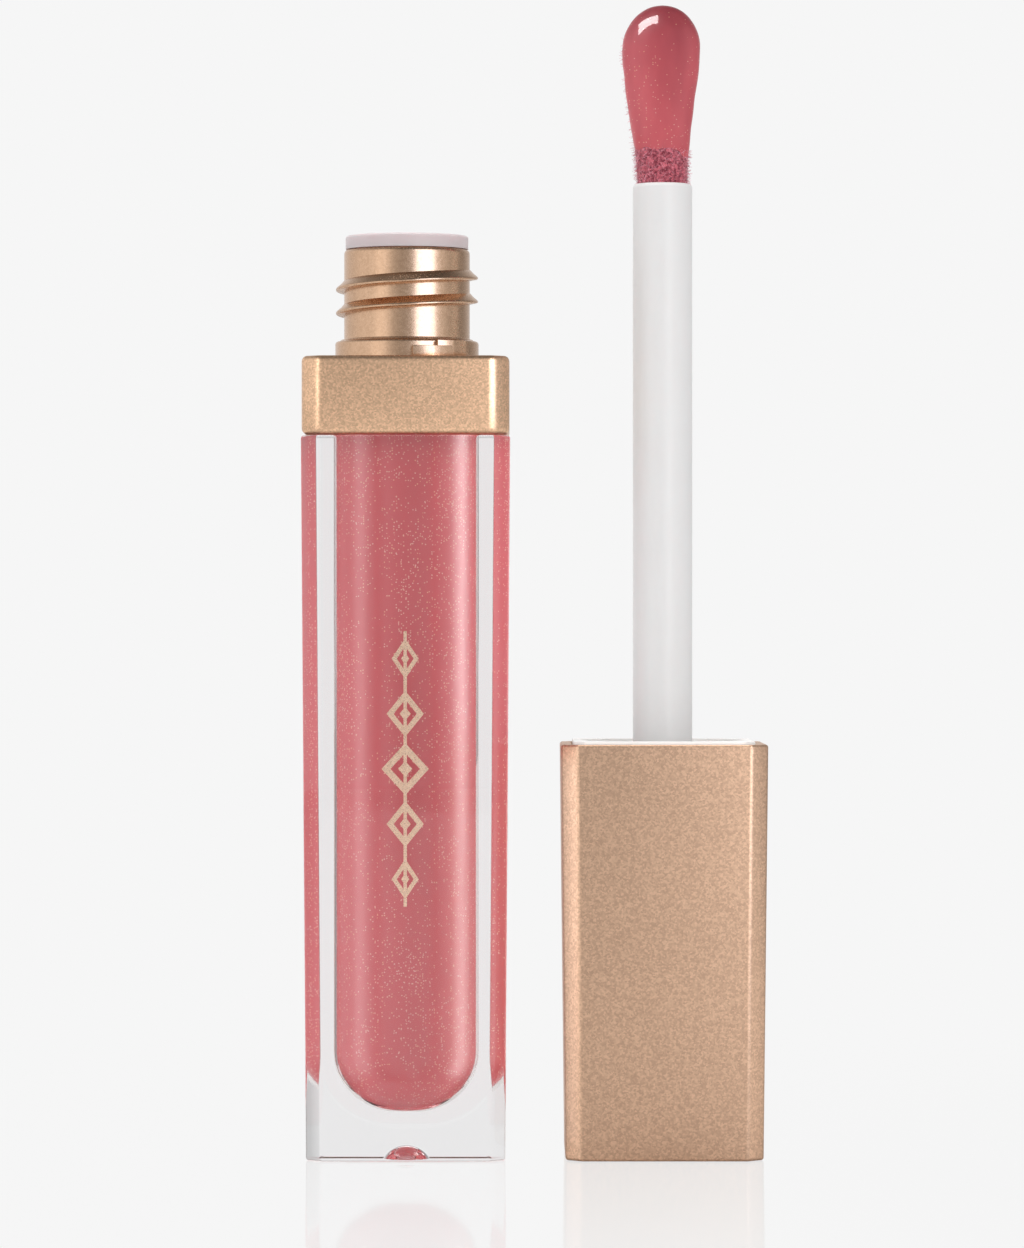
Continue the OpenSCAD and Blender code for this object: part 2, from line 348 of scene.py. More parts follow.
def makeShimmerGroup():
    # scattered mica flecks: a mask that is 1 on a fleck, denser in drifting clouds
    group, given, made = newGroup("shimmerFlecks", [
        ("Vector", 'NodeSocketVector', None),
        ("Scale", 'NodeSocketFloat', 2500.0),
        ("Size", 'NodeSocketFloat', 0.2),
        ("Amount", 'NodeSocketFloat', 0.3),
    ], [("Mask", 'NodeSocketFloat'), ("Tone", 'NodeSocketFloat'), ("Cloud", 'NodeSocketFloat')])
    cells = newNode(group, 'ShaderNodeTexVoronoi', Vector=given["Vector"], Scale=given["Scale"])
    near = calculate(group, 'LESS_THAN', cells.outputs["Distance"], given["Size"])
    split = newNode(group, 'ShaderNodeSeparateColor', Color=cells.outputs["Color"])
    stretch = group.nodes.new('ShaderNodeVectorMath')
    stretch.operation = 'MULTIPLY'
    drive(group, stretch.inputs[0], given["Vector"])
    drive(group, stretch.inputs[1], (1, 1, 0.35))
    cloud = newNode(group, 'ShaderNodeTexNoise', Vector=stretch.outputs[0], Scale=260.0,
                    Detail=3.0).outputs["Fac"]
    thick = newNode(group, 'ShaderNodeMapRange', Value=cloud, From_Min=0.38, From_Max=0.68,
                    To_Min=0.25, To_Max=1.8)
    share = calculate(group, 'MULTIPLY', given["Amount"], thick.outputs["Result"])
    chosen = calculate(group, 'LESS_THAN', split.outputs["Red"], share)
    feed(group, made, Mask=calculate(group, 'MULTIPLY', near, chosen), Tone=split.outputs["Green"],
         Cloud=cloud)
    return group


print("materials: shared groups")
grainGroup = makeGrainGroup()
shimmerGroup = makeShimmerGroup()


def placeGroup(tree, group, **values):
    placed = tree.nodes.new('ShaderNodeGroup')
    placed.node_tree = group
    return feed(tree, placed, Vector=objectCoords(tree), **values)


def addBump(tree, shader, height, distance, strength=1.0):
    bump = newNode(tree, 'ShaderNodeBump', Strength=strength, Distance=distance, Height=height)
    tree.links.new(bump.outputs["Normal"], shader.inputs["Normal"])


def goldFinish(name, settings):
    material, tree, shader = newMaterial(name)
    smoothest, roughest = settings["rough"]
    grain = placeGroup(tree, grainGroup, Scale=settings["grainScale"], Dark=settings["dark"],
                       Light=settings["light"], Rough_Low=smoothest, Rough_High=roughest).outputs
    feed(tree, shader, Metallic=1.0, Base_Color=grain["Color"], Roughness=grain["Roughness"])
    addBump(tree, shader, grain["Height"], settings["bumpDepth"])
    return material


collarGold = goldFinish("collarGold", {
    "grainScale": 7200.0, "dark": (0.60, 0.385, 0.245, 1), "light": (0.98, 0.637, 0.41, 1),
    "rough": (0.30, 0.42), "bumpDepth": 0.0006 * mm})
capGold = goldFinish("capGold", {
    "grainScale": 6400.0, "dark": (0.445, 0.29, 0.197, 1), "light": (0.70, 0.457, 0.312, 1),
    "rough": (0.36, 0.50), "bumpDepth": 0.0006 * mm})
neckGold = goldFinish("neckGold", {
    "grainScale": 5000.0, "dark": (0.57, 0.365, 0.235, 1), "light": (0.68, 0.445, 0.295, 1),
    "rough": (0.22, 0.30), "bumpDepth": 0.002 * mm})
# bright hot-stamped foil
stampedFoil = goldFinish("stampedFoil", {
    "grainScale": 9000.0, "dark": (0.84, 0.55, 0.40, 1), "light": (1.0, 0.74, 0.57, 1),
    "rough": (0.22, 0.36), "bumpDepth": 0.001 * mm})


def clearFinish(name, roughness, ior):
    # clear plastic that lets the lamps' light through to what it holds
    material, tree, shader = newMaterial(name)
    feed(tree, shader, Base_Color=(0.90, 0.895, 0.90, 1), Transmission_Weight=1.0, IOR=ior,
         Roughness=roughness)
    flow = newNode(tree, 'ShaderNodeTexNoise', Vector=objectCoords(tree), Scale=90.0, Detail=1.0)
    addBump(tree, shader, flow.outputs["Fac"], 0.02 * mm, 0.5)
    path = tree.nodes.new('ShaderNodeLightPath')
    hole = newNode(tree, 'ShaderNodeBsdfTransparent', Color=(0.93, 0.93, 0.93, 1))
    showMix(tree, path.outputs["Is Shadow Ray"], shader, hole)
    return material


clearPlastic = clearFinish("clearPlastic", 0.0, 1.57)


def glossFinish(name, settings):
    # thick pink gloss with shimmer
    material, tree, shader = newMaterial(name)
    flecks = placeGroup(tree, shimmerGroup, Scale=settings["fleckScale"], Size=settings["fleckSize"],
                        Amount=settings["fleckAmount"]).outputs
    body = mixColours(tree, flecks["Cloud"], settings["deep"], settings["pale"])
    warm = mixColours(tree, flecks["Tone"], (1.0, 0.60, 0.38, 1), (1.0, 0.70, 0.62, 1))
    faded = calculate(tree, 'MULTIPLY', flecks["Mask"], settings["fleckBright"])
    feed(tree, shader, Base_Color=mixColours(tree, faded, body, warm), Roughness=settings["roughness"],
         IOR=settings["ior"], Specular_IOR_Level=settings["underShine"],
         Subsurface_Weight=settings["subsurface"], Subsurface_Radius=(1.0, 0.35, 0.3),
         Subsurface_Scale=1.2 * mm, Coat_Weight=settings["coat"], Coat_IOR=1.7,
         Coat_Roughness=settings["coatRough"])
    if settings["mirrorRim"]:
        # at a glancing angle a mirror stands in for the total reflection at the wall
        glance = newNode(tree, 'ShaderNodeLayerWeight', Blend=0.5)
        edge = newNode(tree, 'ShaderNodeMapRange', Value=glance.outputs["Facing"], From_Min=0.66,
                       From_Max=0.74)
        mirror = newNode(tree, 'ShaderNodeBsdfGlossy', Roughness=0.02, Color=(0.95, 0.92, 0.91, 1))
        showMix(tree, edge.outputs["Result"], shader, mirror)
    return material


bottleGloss = glossFinish("bottleGloss", {
    "deep": (0.64, 0.066, 0.082, 1), "pale": (0.74, 0.105, 0.125, 1), "roughness": 0.42, "ior": 1.45,
    "subsurface": 0.25, "coat": 1.0, "fleckScale": 4800.0, "fleckSize": 0.3, "fleckAmount": 0.4,
    "fleckBright": 0.62, "mirrorRim": True, "underShine": 0.5, "coatRough": 0.27})
tipGloss = glossFinish("tipGloss", {
    "deep": (0.39, 0.042, 0.066, 1), "pale": (0.98, 0.20, 0.23, 1), "roughness": 0.32, "ior": 1.47,
    "subsurface": 0.2, "coat": 0.42, "fleckScale": 4800.0, "fleckSize": 0.24, "fleckAmount": 0.2,
    "fleckBright": 0.6, "mirrorRim": False, "underShine": 0.1, "coatRough": 0.04})


def plasticFinish(name, settings):
    # moulded plastic with faint flow marks and a fine satin texture
    material, tree, shader = newMaterial(name)
    coords = objectCoords(tree)
    smoothest, roughest = settings["rough"]
    marks = newNode(tree, 'ShaderNodeTexNoise', Vector=coords, Scale=180.0, Detail=3.0).outputs["Fac"]
    satin = newNode(tree, 'ShaderNodeTexNoise', Vector=coords, Scale=9000.0, Detail=2.0)
    gloss = newNode(tree, 'ShaderNodeMapRange', Value=marks, To_Min=smoothest, To_Max=roughest)
    feed(tree, shader, Base_Color=mixColours(tree, marks, settings["dark"], settings["light"]),
         Roughness=gloss.outputs["Result"], Subsurface_Weight=settings["milky"],
         Subsurface_Radius=(1.0, 0.8, 0.8), Subsurface_Scale=1.0 * mm,
         Transmission_Weight=settings["through"])
    addBump(tree, shader, satin.outputs["Fac"], 0.002 * mm)
    return material


stemPlastic = plasticFinish("stemPlastic", {
    "dark": (0.80, 0.79, 0.79, 1), "light": (0.84, 0.83, 0.83, 1), "rough": (0.34, 0.42),
    "milky": 0.25, "through": 0.0})
innerPlastic = plasticFinish("innerPlastic", {
    "dark": (0.80, 0.78, 0.76, 1), "light": (0.86, 0.84, 0.82, 1), "rough": (0.4, 0.5),
    "milky": 0.2, "through": 0.0})
wiperPlastic = plasticFinish("wiperPlastic", {
    "dark": (0.68, 0.58, 0.59, 1), "light": (0.74, 0.65, 0.66, 1), "rough": (0.38, 0.48),
    "milky": 0.5, "through": 0.12})
tipRubber = plasticFinish("tipRubber", {
    "dark": (0.70, 0.45, 0.50, 1), "light": (0.78, 0.55, 0.60, 1), "rough": (0.5, 0.6),
    "milky": 0.2, "through": 0.0})
linerFoam = plasticFinish("linerFoam", {
    "dark": (0.68, 0.68, 0.66, 1), "light": (0.78, 0.78, 0.76, 1), "rough": (0.7, 0.85),
    "milky": 0.1, "through": 0.0})


def flockFinish(name, dark, light, scale):
    # short dense pile in darker and lighter tufts
    material, tree, shader = newMaterial(name)
    coords = objectCoords(tree)
    tufts = newNode(tree, 'ShaderNodeTexVoronoi', Vector=coords, Scale=scale)
    patch = newNode(tree, 'ShaderNodeTexNoise', Vector=coords, Scale=scale * 0.5, Detail=3.0)
    split = newNode(tree, 'ShaderNodeSeparateColor', Color=tufts.outputs["Color"])
    shade = calculate(tree, 'MULTIPLY', split.outputs["Red"], patch.outputs["Fac"])
    spread = newNode(tree, 'ShaderNodeMapRange', Value=shade, From_Min=0.05, From_Max=0.45)
    feed(tree, shader, Base_Color=mixColours(tree, spread.outputs["Result"], dark, light), Roughness=0.65,
         Sheen_Weight=0.35)
    addBump(tree, shader, tufts.outputs["Distance"], 0.08 * mm)
    return material


flockSkin = flockFinish("flockSkin", (0.22, 0.018, 0.04, 1), (0.68, 0.15, 0.20, 1), 5200.0)
flockFibre = flockFinish("flockFibre", (0.42, 0.05, 0.09, 1), (0.95, 0.45, 0.55, 1), 3000.0)


print("bottle: clear block")
blockLow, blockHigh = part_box("bottle_block")
collarLow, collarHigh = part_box("neck_collar")
wiperLow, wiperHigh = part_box("wiper")
glossLow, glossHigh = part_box("gloss_fill")

block = {
    "topWidth": blockHigh[0] - blockLow[0], "footWidth": 17.7 * mm, "cornerLeg": 1.4 * mm,
    "edgeRound": 0.28 * mm, "cavityRadius": 6.3 * mm, "cavityEnd": 5.4 * mm,
    "spigotRadius": 7.7 * mm, "dimpleRadius": 2.1 * mm, "dimpleDepth": 1.3 * mm,
}
blockTop = collarLow[2]
seam = 0.06 * mm        # half the gap between the block and the collar


def cavityOutline(radius, floor, top, endRadius):
    # from the middle of the rounded floor up the wall
    flat = radius - endRadius
    return [(hair, floor)] + arcPoints((flat, floor + endRadius), endRadius, -90, 0, 16) + [(radius, top)]


def makeBlock():
    made = squareBar("clearBlock", 0, 0, blockTop - seam, block["footWidth"], block["topWidth"],
                     block["cornerLeg"])
    softenEdges(made, block["edgeRound"], 4)
    spigot = turned("spigot", 0, [(block["spigotRadius"], blockTop - 2 * mm),
                                  (block["spigotRadius"], blockHigh[2])])
    carve(made, spigot, 'UNION')
    hollow = turned("hollow", 0, cavityOutline(block["cavityRadius"], glossLow[2], blockHigh[2] + mm,
                                               block["cavityEnd"]))
    carve(made, hollow)
    deep, wide = block["dimpleDepth"], block["dimpleRadius"]
    dome = (wide ** 2 + deep ** 2) / (2 * deep)
    steps = 10
    outline = [(wide, -0.5 * mm), (wide, 0)]
    for i in range(1, steps):
        radius = wide * (1 - i / steps)
        outline.append((radius, sqrt(dome ** 2 - radius ** 2) - (dome - deep)))
    outline.append((0.01 * mm, deep))
    dimple = turned("dimple", 0, outline, 64)
    carve(made, dimple)
    smooth(made)
    finishWith(made, clearPlastic)
    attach(made, "bottle")
    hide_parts("bottle_block")
    return made


clearBlock = makeBlock()

print("bottle: gloss")
grip = 0.03 * mm
glossOutline = cavityOutline(block["cavityRadius"] + grip, glossLow[2] - grip, glossHigh[2],
                             block["cavityEnd"])
glossBody = turned("glossBody", 0, glossOutline)
smooth(glossBody)
finishWith(glossBody, bottleGloss)
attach(glossBody, "bottle")
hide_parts("gloss_fill")

print("bottle: collar and neck")
collar = {
    "width": 18.45 * mm, "height": 7.0 * mm, "cornerLeg": 1.4 * mm, "edgeRound": 0.5 * mm,
    "boreRadius": 4.3 * mm, "spigotRoom": 7.75 * mm, "spigotDepth": 4.6 * mm,
}
collarTop = collarLow[2] + collar["height"]
pitch = 2.117 * mm
neck = {
    "radius": 5.65 * mm, "top": collarHigh[2], "edgeRound": 0.45 * mm, "beadRadius": 6.45 * mm,
    "beadHeight": 1.6 * mm, "stepRadius": 5.95 * mm, "stepHeight": 0.14 * mm,
}


def makeCollar():
    made = squareBar("goldCollar", 0, collarLow[2] + seam, collarTop, collar["width"], collar["width"],
                     collar["cornerLeg"])
    softenEdges(made, collar["edgeRound"], 4)
    room = turned("room", 0, [(collar["spigotRoom"], collarLow[2] - mm),
                              (collar["spigotRoom"], collarLow[2] + collar["spigotDepth"])])
    carve(made, room)
    bore = turned("bore", 0, [(collar["boreRadius"], collarLow[2]), (collar["boreRadius"], collarTop + mm)])
    carve(made, bore)
    smooth(made)
    finishWith(made, collarGold)
    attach(made, "bottle")
    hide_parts("neck_collar")
    return made


def makeNeck():
    bore = collar["boreRadius"]
    bead, beadTop = neck["beadRadius"], collarTop + neck["beadHeight"]
    foot, top = collarTop - 0.4 * mm, neck["top"]
    step, stepTop = neck["stepRadius"], beadTop + neck["stepHeight"]
    wall, edge = neck["radius"], neck["edgeRound"]
    beadRound, stepRound, roundIn = 0.28 * mm, 0.06 * mm, 0.12 * mm
    outline = [(bead, foot)]
    outline += arcPoints((bead - beadRound, beadTop - beadRound), beadRound, 0, 90, 4)
    outline += arcPoints((step - stepRound, stepTop - stepRound), stepRound, 0, 90, 2)
    outline += arcPoints((wall + roundIn, stepTop + roundIn), roundIn, 270, 180, 4)
    outline += arcPoints((wall - edge, top - edge), edge, 0, 90, 6)
    outline += [(bore, top), (bore, foot), (bead, foot)]
    made = turned("threadedNeck", 0, outline, 128)
    crest = 6.4 * mm
    wedge = [
        (wall - 0.4 * mm, -0.34 * mm), (wall + 0.03 * mm, -0.26 * mm), (wall + 0.35 * mm, -0.2 * mm),
        (crest - 0.1 * mm, -0.14 * mm), (crest - 0.02 * mm, -0.08 * mm), (crest, 0),
        (crest - 0.03 * mm, 0.09 * mm), (crest - 0.12 * mm, 0.18 * mm), (wall + 0.3 * mm, 0.46 * mm),
        (wall + 0.05 * mm, 0.74 * mm), (wall - 0.4 * mm, 0.95 * mm)]
    thread = ridge("thread", 0, {
        "wedge": wedge, "pitch": pitch, "fromAngle": -250, "toAngle": 430, "crestAtX": collarTop + 5.2 * mm,
        "fade": 40, "sunk": wall - 0.3 * mm, "steps": 96})
    lugIn, lugFoot = bead - 0.4 * mm, collarTop - 0.1 * mm
    lowLug = arcBlock("lowLug", lugIn, bead + 0.7 * mm, lugFoot, collarTop + 1.0 * mm, -85, -54)
    highLug = arcBlock("highLug", lugIn, bead + 0.6 * mm, lugFoot, collarTop + 1.5 * mm, -66, -40)
    for lug in (lowLug, highLug):
        softenEdges(lug, 0.07 * mm, 2, 12)
    joinPieces(made, thread, lowLug, highLug)
    smooth(made, 40)
    finishWith(made, neckGold)
    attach(made, "bottle")
    return made


goldCollar = makeCollar()
threadedNeck = makeNeck()

print("bottle: wiper")


def makeWiper():
    flange, top, under = 5.525 * mm, wiperHigh[2], neck["top"]
    sleeve, bore, throat = 4.27 * mm, 3.55 * mm, 2.72 * mm
    foot, edge = wiperLow[2], 0.25 * mm
    outline = [(throat, foot), (throat + 0.7 * mm, foot), (sleeve, foot + 2.2 * mm), (sleeve, under),
               (flange, under)]
    outline += arcPoints((flange - edge, top - edge), edge, 0, 90, 5)
    outline += [(bore + 0.7 * mm, top), (bore, top - 0.9 * mm), (bore, foot + 2.9 * mm),
                (throat, foot + mm), (throat, foot)]
    made = turned("wiperInsert", 0, outline)
    smooth(made)
    finishWith(made, wiperPlastic)
    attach(made, "bottle")
    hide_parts("wiper")
    return made


wiperInsert = makeWiper()

print("cap: shell and inner cap")
capLow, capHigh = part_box("cap_shell")
innerLow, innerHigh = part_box("inner_cap")
stemLow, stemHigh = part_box("wand_stem")
capX = (capLow[0] + capHigh[0]) / 2
rim = capHigh[2]
cap = {
    "rimWidth": capHigh[0] - capLow[0], "endWidth": 17.6 * mm, "cornerLeg": 1.4 * mm, "wall": 1.05 * mm,
    "edgeRound": 0.26 * mm, "floor": 1.6 * mm,
}


def makeCap():
    made = squareBar("goldCap", capX, 0, rim, cap["endWidth"], cap["rimWidth"], cap["cornerLeg"])
    edit(made)
    pick('FACE', lambda face: face.normal.z > 0.9)
    bpy.ops.mesh.inset(thickness=cap["wall"], use_even_offset=True)
    bpy.ops.mesh.extrude_region_move(TRANSFORM_OT_translate={"value": (0, 0, cap["floor"] - rim)})
    shrink = (cap["endWidth"] - 2 * cap["wall"]) / (cap["rimWidth"] - 2 * cap["wall"])
    bpy.ops.transform.resize(value=(shrink, shrink, 1), center_override=(capX, 0, cap["floor"]))
    leaveEdit()
    softenEdges(made, cap["edgeRound"], 4)
    smooth(made)
    finishWith(made, capGold)
    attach(made, "cap")
    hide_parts("cap_shell")
    return made


def makeInnerCap():
    lift = innerHigh[2] - rim
    well, wall, socket = 6.65 * mm, 1.25 * mm, 4.3 * mm
    depth, ceiling = 11.7 * mm, 1.2 * mm
    stem = stemHigh[0] - capX
    width = innerHigh[0] - innerLow[0]
    flange, leg = 1.9 * mm, cap["cornerLeg"] - 0.4 * mm
    made = squareBar("whiteInnerCap", capX, rim + lift - flange, rim + lift, width, width, leg)
    softenEdges(made, 0.14 * mm, 2)
    outer = turned("outer", capX, [
        (socket, innerLow[2]), (socket, rim - depth - ceiling), (well + wall, rim - depth - ceiling),
        (well + wall, rim - mm)])
    carve(made, outer, 'UNION')
    roof = rim - depth - hair       # a hair off the liner, so that the two never share a face
    bore, mouth = stem + 0.03 * mm, well + 0.7 * mm
    hollow = turned("hollow", capX, [
        (bore, rim - 20.1 * mm), (bore, roof), (well, roof), (well, rim - 2 * mm), (mouth, rim - 2 * mm),
        (mouth, rim + mm)])
    carve(made, hollow)
    wedge = [(well + 0.35 * mm, -0.5 * mm), (well - 0.05 * mm, -0.36 * mm), (well - 0.6 * mm, -0.12 * mm),
             (well - 0.7 * mm, 0), (well - 0.6 * mm, 0.12 * mm), (well - 0.05 * mm, 0.36 * mm),
             (well + 0.35 * mm, 0.5 * mm)]
    thread = ridge("innerThread", capX, {
        "wedge": wedge, "pitch": pitch, "fromAngle": -480, "toAngle": 180, "crestAtX": rim - 4.9 * mm,
        "fade": 40, "sunk": well + 0.3 * mm, "steps": 72})
    joinPieces(made, thread)
    smooth(made)
    finishWith(made, innerPlastic)
    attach(made, "cap")
    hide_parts("inner_cap")
    return made


goldCap = makeCap()
whiteInnerCap = makeInnerCap()

print("wand: stem")


def makeStem():
    radius, foot, top = stemHigh[0] - capX, stemLow[2], stemHigh[2]
    hole, deep, edge, groove = 1.47 * mm, 6.1 * mm, 0.4 * mm, 0.25 * mm
    outline = [(hair, foot), (radius - edge, foot), (radius, foot + edge), (radius, foot + 2.5 * mm),
               (radius - groove, foot + 2.75 * mm), (radius - groove, foot + 3.2 * mm),
               (radius, foot + 3.45 * mm)]
    outline += arcPoints((radius - edge, top - edge), edge, 0, 90, 8)
    outline += [(hole, top), (hole, top - deep), (hair, top - deep)]
    made = turned("whiteStem", capX, outline)
    smooth(made)
    finishWith(made, stemPlastic)
    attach(made, "wand")
    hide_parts("wand_stem")
    return made


whiteStem = makeStem()

print("tip: flocked paddle")
flockLow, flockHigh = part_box("tip_flock")
coatLow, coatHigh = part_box("gloss_coat")
tip = {
    "foot": stemHigh[2] + hair, "top": coatHigh[2], "flatHead": 0.6, "flatFoot": 0.78,
    "wetFrom": 0.165, "wetStep": 0.03, "wetSlope": 0.022, "film": 0.10 * mm, "bow": 0.16 * mm,
    "waveSize": 1.6 * mm, "sag": 0.08 * mm, "sagSize": 2.0 * mm, "sink": 0.3 * mm,
    # half widths in mm at shares of the height, from the stem to the top
    "outline": [(0.0, 2.34), (0.06, 2.38), (0.20, 2.50), (0.34, 2.78), (0.46, 3.04), (0.60, 3.33),
                (0.73, 3.52), (0.80, 3.46), (0.87, 3.10), (0.93, 2.45), (0.975, 1.55), (0.994, 0.75),
                (1.0, 0.04)],
}


def halfWidth(share):
    # smooth curve through the outline's points
    points = tip["outline"]
    for i in range(len(points) - 1):
        if share <= points[i + 1][0]:
            break
    before, start, end, after = (points[max(0, min(len(points) - 1, k))] for k in (i - 1, i, i + 1, i + 2))
    t = (share - start[0]) / (end[0] - start[0])
    span = end[0] - start[0]
    slopeIn = (end[1] - before[1]) / max(1e-6, end[0] - before[0]) * span
    slopeOut = (after[1] - start[1]) / max(1e-6, after[0] - start[0]) * span
    return ((2 * t ** 3 - 3 * t ** 2 + 1) * start[1] + (t ** 3 - 2 * t ** 2 + t) * slopeIn
            + (3 * t ** 2 - 2 * t ** 3) * end[1] + (t ** 3 - t ** 2) * slopeOut) * mm


def tipShares(steps):
    # closer together towards the rounded top
    return [sin(pi / 2 * i / steps) for i in range(steps + 1)]


def flatten(piece):
    length = tip["top"] - tip["foot"]
    for point in piece.data.vertices:
        share = (point.co.z - tip["foot"]) / length
        flat = tip["flatFoot"] + (tip["flatHead"] - tip["flatFoot"]) * min(1, max(0, share / 0.6))
        point.co.y *= flat
        point.co.x -= tip["bow"] * sin(pi * min(1, max(0, share)))


def makeTip(name, inset):
    length = tip["top"] - tip["foot"] - inset
    shares = tipShares(40)
    outline = [(hair, tip["foot"])]
    outline += [(max(hair, halfWidth(s) - inset), tip["foot"] + length * s) for s in shares]
    return turned(name, capX, outline, 80)


def smoothStep(low, high, value):
    t = min(1, max(0, (value - low) / (high - low)))
    return t * t * (3 - 2 * t)


flockTip = makeTip("flockTip", tip["film"])
flatten(flockTip)
smooth(flockTip, 60)
finishWith(flockTip, flockSkin)
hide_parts("tip_core", "tip_flock")


def makeCoat():
    # same form, a film's thickness proud where it is wet and sunk below a wavy edge
    made = makeTip("glossCoat", 0)
    length = tip["top"] - tip["foot"]
    for point in made.data.vertices:
        share = (point.co.z - tip["foot"]) / length
        away = Vector((point.co.x - capX, point.co.y, 0))
        if away.length < 0.05 * mm:
            continue
        wave = noise.noise(Vector((away.x / tip["waveSize"], away.y / tip["waveSize"], 3.0)))
        edge = tip["wetFrom"] + tip["wetStep"] * wave - tip["wetSlope"] * away.x / (2.3 * mm)
        wet = smoothStep(edge - 0.02, edge + 0.03, share)
        sag = tip["sag"] * noise.noise(point.co / tip["sagSize"])
        change = -tip["sink"] + wet * (tip["sink"] + sag)
        if share > 0.97:
            change = 0
        away = away.normalized() * change
        point.co.x += away.x
        point.co.y += away.y
    flatten(made)
    edit(made)
    pick('FACE', lambda face: face.calc_center_median().z < tip["foot"] + 0.12 * length)
    bpy.ops.mesh.delete(type='FACE')
    selectAll()
    bpy.ops.mesh.fill_holes(sides=0)
    selectAll()
    bpy.ops.mesh.normals_make_consistent(inside=False)
    leaveEdit()
    smooth(made, 60)
    finishWith(made, tipGloss)
    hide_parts("gloss_coat")
    return made


glossCoat = makeCoat()


flock = {
    "sides": 5, "footRadius": 0.022 * mm, "headRadius": 0.008 * mm, "length": 0.36 * mm, "middle": 0.15 * mm,
    "hook": (0.03 * mm, 0, 0.08 * mm), "tilt": 0.9, "spin": 3.1, "shortest": 0.6, "longest": 1.2,
}


def makeFibre():
    # one short fibre, a thin cone whose end is drawn out to one side
    startPiece()
    bpy.ops.mesh.primitive_cone_add(vertices=flock["sides"], radius1=flock["footRadius"],
                                    radius2=flock["headRadius"], depth=flock["length"],
                                    location=(0, 0, flock["middle"]))
    made = bpy.context.object
    made.name = "fibre"
    place()
    edit(made)
    pick('FACE', lambda face: face.normal.z > 0.9)
    bpy.ops.mesh.extrude_region_move(TRANSFORM_OT_translate={"value": flock["hook"]})
    leaveEdit()
    return made


def scatterFibres(name, ground, fibre, perSquareMm, seed):
    # copies of the fibre stand on the ground mesh, each leaning its own way
    only(ground)
    modifier = ground.modifiers.new("scatter", 'NODES')
    tree = bpy.data.node_groups.new(name, 'GeometryNodeTree')
    tree.interface.new_socket("Geometry", in_out='INPUT', socket_type='NodeSocketGeometry')
    tree.interface.new_socket("Geometry", in_out='OUTPUT', socket_type='NodeSocketGeometry')
    nodes, links = tree.nodes, tree.links
    given, made = nodes.new('NodeGroupInput'), nodes.new('NodeGroupOutput')
    points = nodes.new('GeometryNodeDistributePointsOnFaces')
    points.inputs["Density"].default_value = perSquareMm / mm ** 2
    points.inputs["Seed"].default_value = seed
    source = nodes.new('GeometryNodeObjectInfo')
    source.inputs["Object"].default_value = fibre
    lean = nodes.new('FunctionNodeRandomValue')
    lean.data_type = 'FLOAT_VECTOR'
    tilt, spin = flock["tilt"], flock["spin"]
    lean.inputs[0].default_value = (-tilt, -tilt, -spin)
    lean.inputs[1].default_value = (tilt, tilt, spin)
    turn = nodes.new('FunctionNodeRotateRotation')
    turn.rotation_space = 'LOCAL'
    copies = nodes.new('GeometryNodeInstanceOnPoints')
    long = nodes.new('FunctionNodeRandomValue')
    long.inputs[2].default_value = flock["shortest"]
    long.inputs[3].default_value = flock["longest"]
    real = nodes.new('GeometryNodeRealizeInstances')
    links.new(given.outputs[0], points.inputs["Mesh"])
    links.new(points.outputs["Points"], copies.inputs["Points"])
    links.new(points.outputs["Rotation"], turn.inputs["Rotation"])
    links.new(lean.outputs[0], turn.inputs["Rotate By"])
    links.new(turn.outputs[0], copies.inputs["Rotation"])
    links.new(source.outputs["Geometry"], copies.inputs["Instance"])
    links.new(long.outputs[1], copies.inputs["Scale"])
    links.new(copies.outputs[0], real.inputs[0])
    links.new(real.outputs[0], made.inputs[0])
    modifier.node_group = tree
    bpy.ops.object.modifier_apply(modifier=modifier.name)
    ground.name = name


def copyPart(piece, name, keep):
    # copy of a piece's mesh with only the faces that pass the test
    copied = piece.copy()
    copied.data = piece.data.copy()
    copied.name = name
    bpy.context.collection.objects.link(copied)
    edit(copied)
    pick('FACE', lambda face: not keep(face))
    bpy.ops.mesh.delete(type='FACE')
    leaveEdit()
    return copied


def makeFlock():
    length = tip["top"] - tip["foot"]
    dryTop = tip["foot"] + (tip["wetFrom"] + 0.03) * length
    edgeTop = tip["foot"] + 0.8 * length
    fibre = makeFibre()
    dryFoot = tip["foot"] + 0.3 * mm
    dry = copyPart(flockTip, "dryGround",
                   lambda face: dryFoot < face.calc_center_median().z < dryTop and abs(face.normal.z) < 0.9)
    scatterFibres("dryFibres", dry, fibre, perSquareMm=26, seed=3)
    # the left edge keeps a few fibres above the wet line too
    side = copyPart(flockTip, "sideGround",
                    lambda face: dryTop < face.calc_center_median().z < edgeTop
                    and face.calc_center_median().x < capX and face.normal.x < -0.93)
    scatterFibres("sideFibres", side, fibre, perSquareMm=9, seed=7)
    bpy.data.objects.remove(fibre, do_unlink=True)
    made = joinPieces(dry, side)
    made.name = "flockFibres"
    finishWith(made, flockFibre)
    return made


print("tip: fibres")
flockFibres = makeFlock()

for piece in (flockTip, glossCoat, flockFibres):
    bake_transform(piece)

print("kept CAD nodes")
keptNodes = {"foil_ornament": stampedFoil, "liner_ring": linerFoam, "tip_anchor": tipRubber}
for cadName, material in keptNodes.items():
    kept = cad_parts[cadName]
    kept.data.materials.clear()
    kept.data.materials.append(material)

print("studio: floor, lamps and camera")


